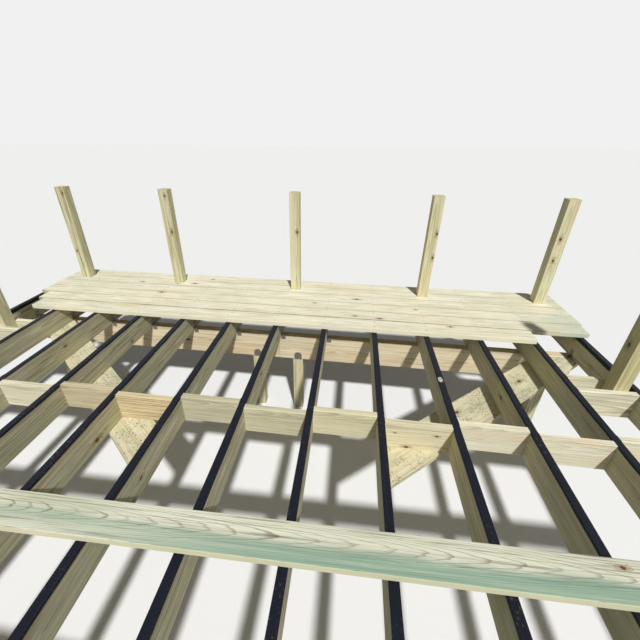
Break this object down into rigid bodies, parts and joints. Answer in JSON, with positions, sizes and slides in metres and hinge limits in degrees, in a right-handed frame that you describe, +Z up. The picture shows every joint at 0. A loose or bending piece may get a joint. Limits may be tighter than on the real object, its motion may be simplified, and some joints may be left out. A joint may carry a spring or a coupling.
{
  "type": "wooden jetty under construction",
  "caption": "Unfinished wooden lakeside jetty: taped joists on dropped beams and piles, a strip of deck boards along the lake edge, bare rail posts and a loose plank.",
  "frame": {"origin": "on the level where the piles stand, below the middle of the whole outline", "axes": "+X to the right along the lake edge, +Y out over the lake, +Z up"},
  "size_m": [4.926, 3.828, 1.954],
  "materials": {
    "framing_lumber": "matte",
    "post_lumber": "matte",
    "deck_lumber": "matte",
    "green_lumber": "matte",
    "joist_tape": "satin",
    "galvanised_steel": "satin"
  },
  "bodies": {
    "root": {"left_rim_joist": "framing_lumber", "joist_1": "framing_lumber", "joist_2": "framing_lumber", "joist_3": "framing_lumber", "joist_4": "framing_lumber", "joist_5": "framing_lumber", "joist_6": "framing_lumber", "joist_7": "framing_lumber", "joist_8": "framing_lumber", "joist_9": "framing_lumber", "joist_10": "framing_lumber", "joist_11": "framing_lumber", "right_rim_joist": "framing_lumber", "lake_rim_joist": "framing_lumber", "shore_rim_joist": "framing_lumber", "blocking_row": "framing_lumber", "left_side_post_blocks": "framing_lumber", "right_side_post_blocks": "framing_lumber", "lake_beam_inland_ply": "framing_lumber", "lake_beam_lakeward_ply": "framing_lumber", "shore_beam_inland_ply": "framing_lumber", "shore_beam_lakeward_ply": "framing_lumber", "left_brace": "framing_lumber", "right_brace": "framing_lumber", "lake_rail_post_1": "post_lumber", "lake_rail_post_2": "post_lumber", "lake_rail_post_3": "post_lumber", "lake_rail_post_4": "post_lumber", "lake_rail_post_5": "post_lumber", "left_side_rail_post": "post_lumber", "right_side_rail_post": "post_lumber", "lake_left_pile": "post_lumber", "lake_middle_piles": "post_lumber", "lake_right_pile": "post_lumber", "shore_left_pile": "post_lumber", "shore_middle_piles": "post_lumber", "shore_right_pile": "post_lumber", "deck_board_1": "deck_lumber", "deck_board_2": "deck_lumber", "deck_board_3": "deck_lumber", "deck_board_4": "deck_lumber", "deck_board_5": "deck_lumber", "deck_board_6": "deck_lumber", "loose_plank": "green_lumber", "joist_tape": "joist_tape", "lake_pile_caps": "galvanised_steel", "lake_beam_ties": "galvanised_steel", "shore_pile_caps": "galvanised_steel", "shore_beam_ties": "galvanised_steel"}
  },
  "joints": []
}
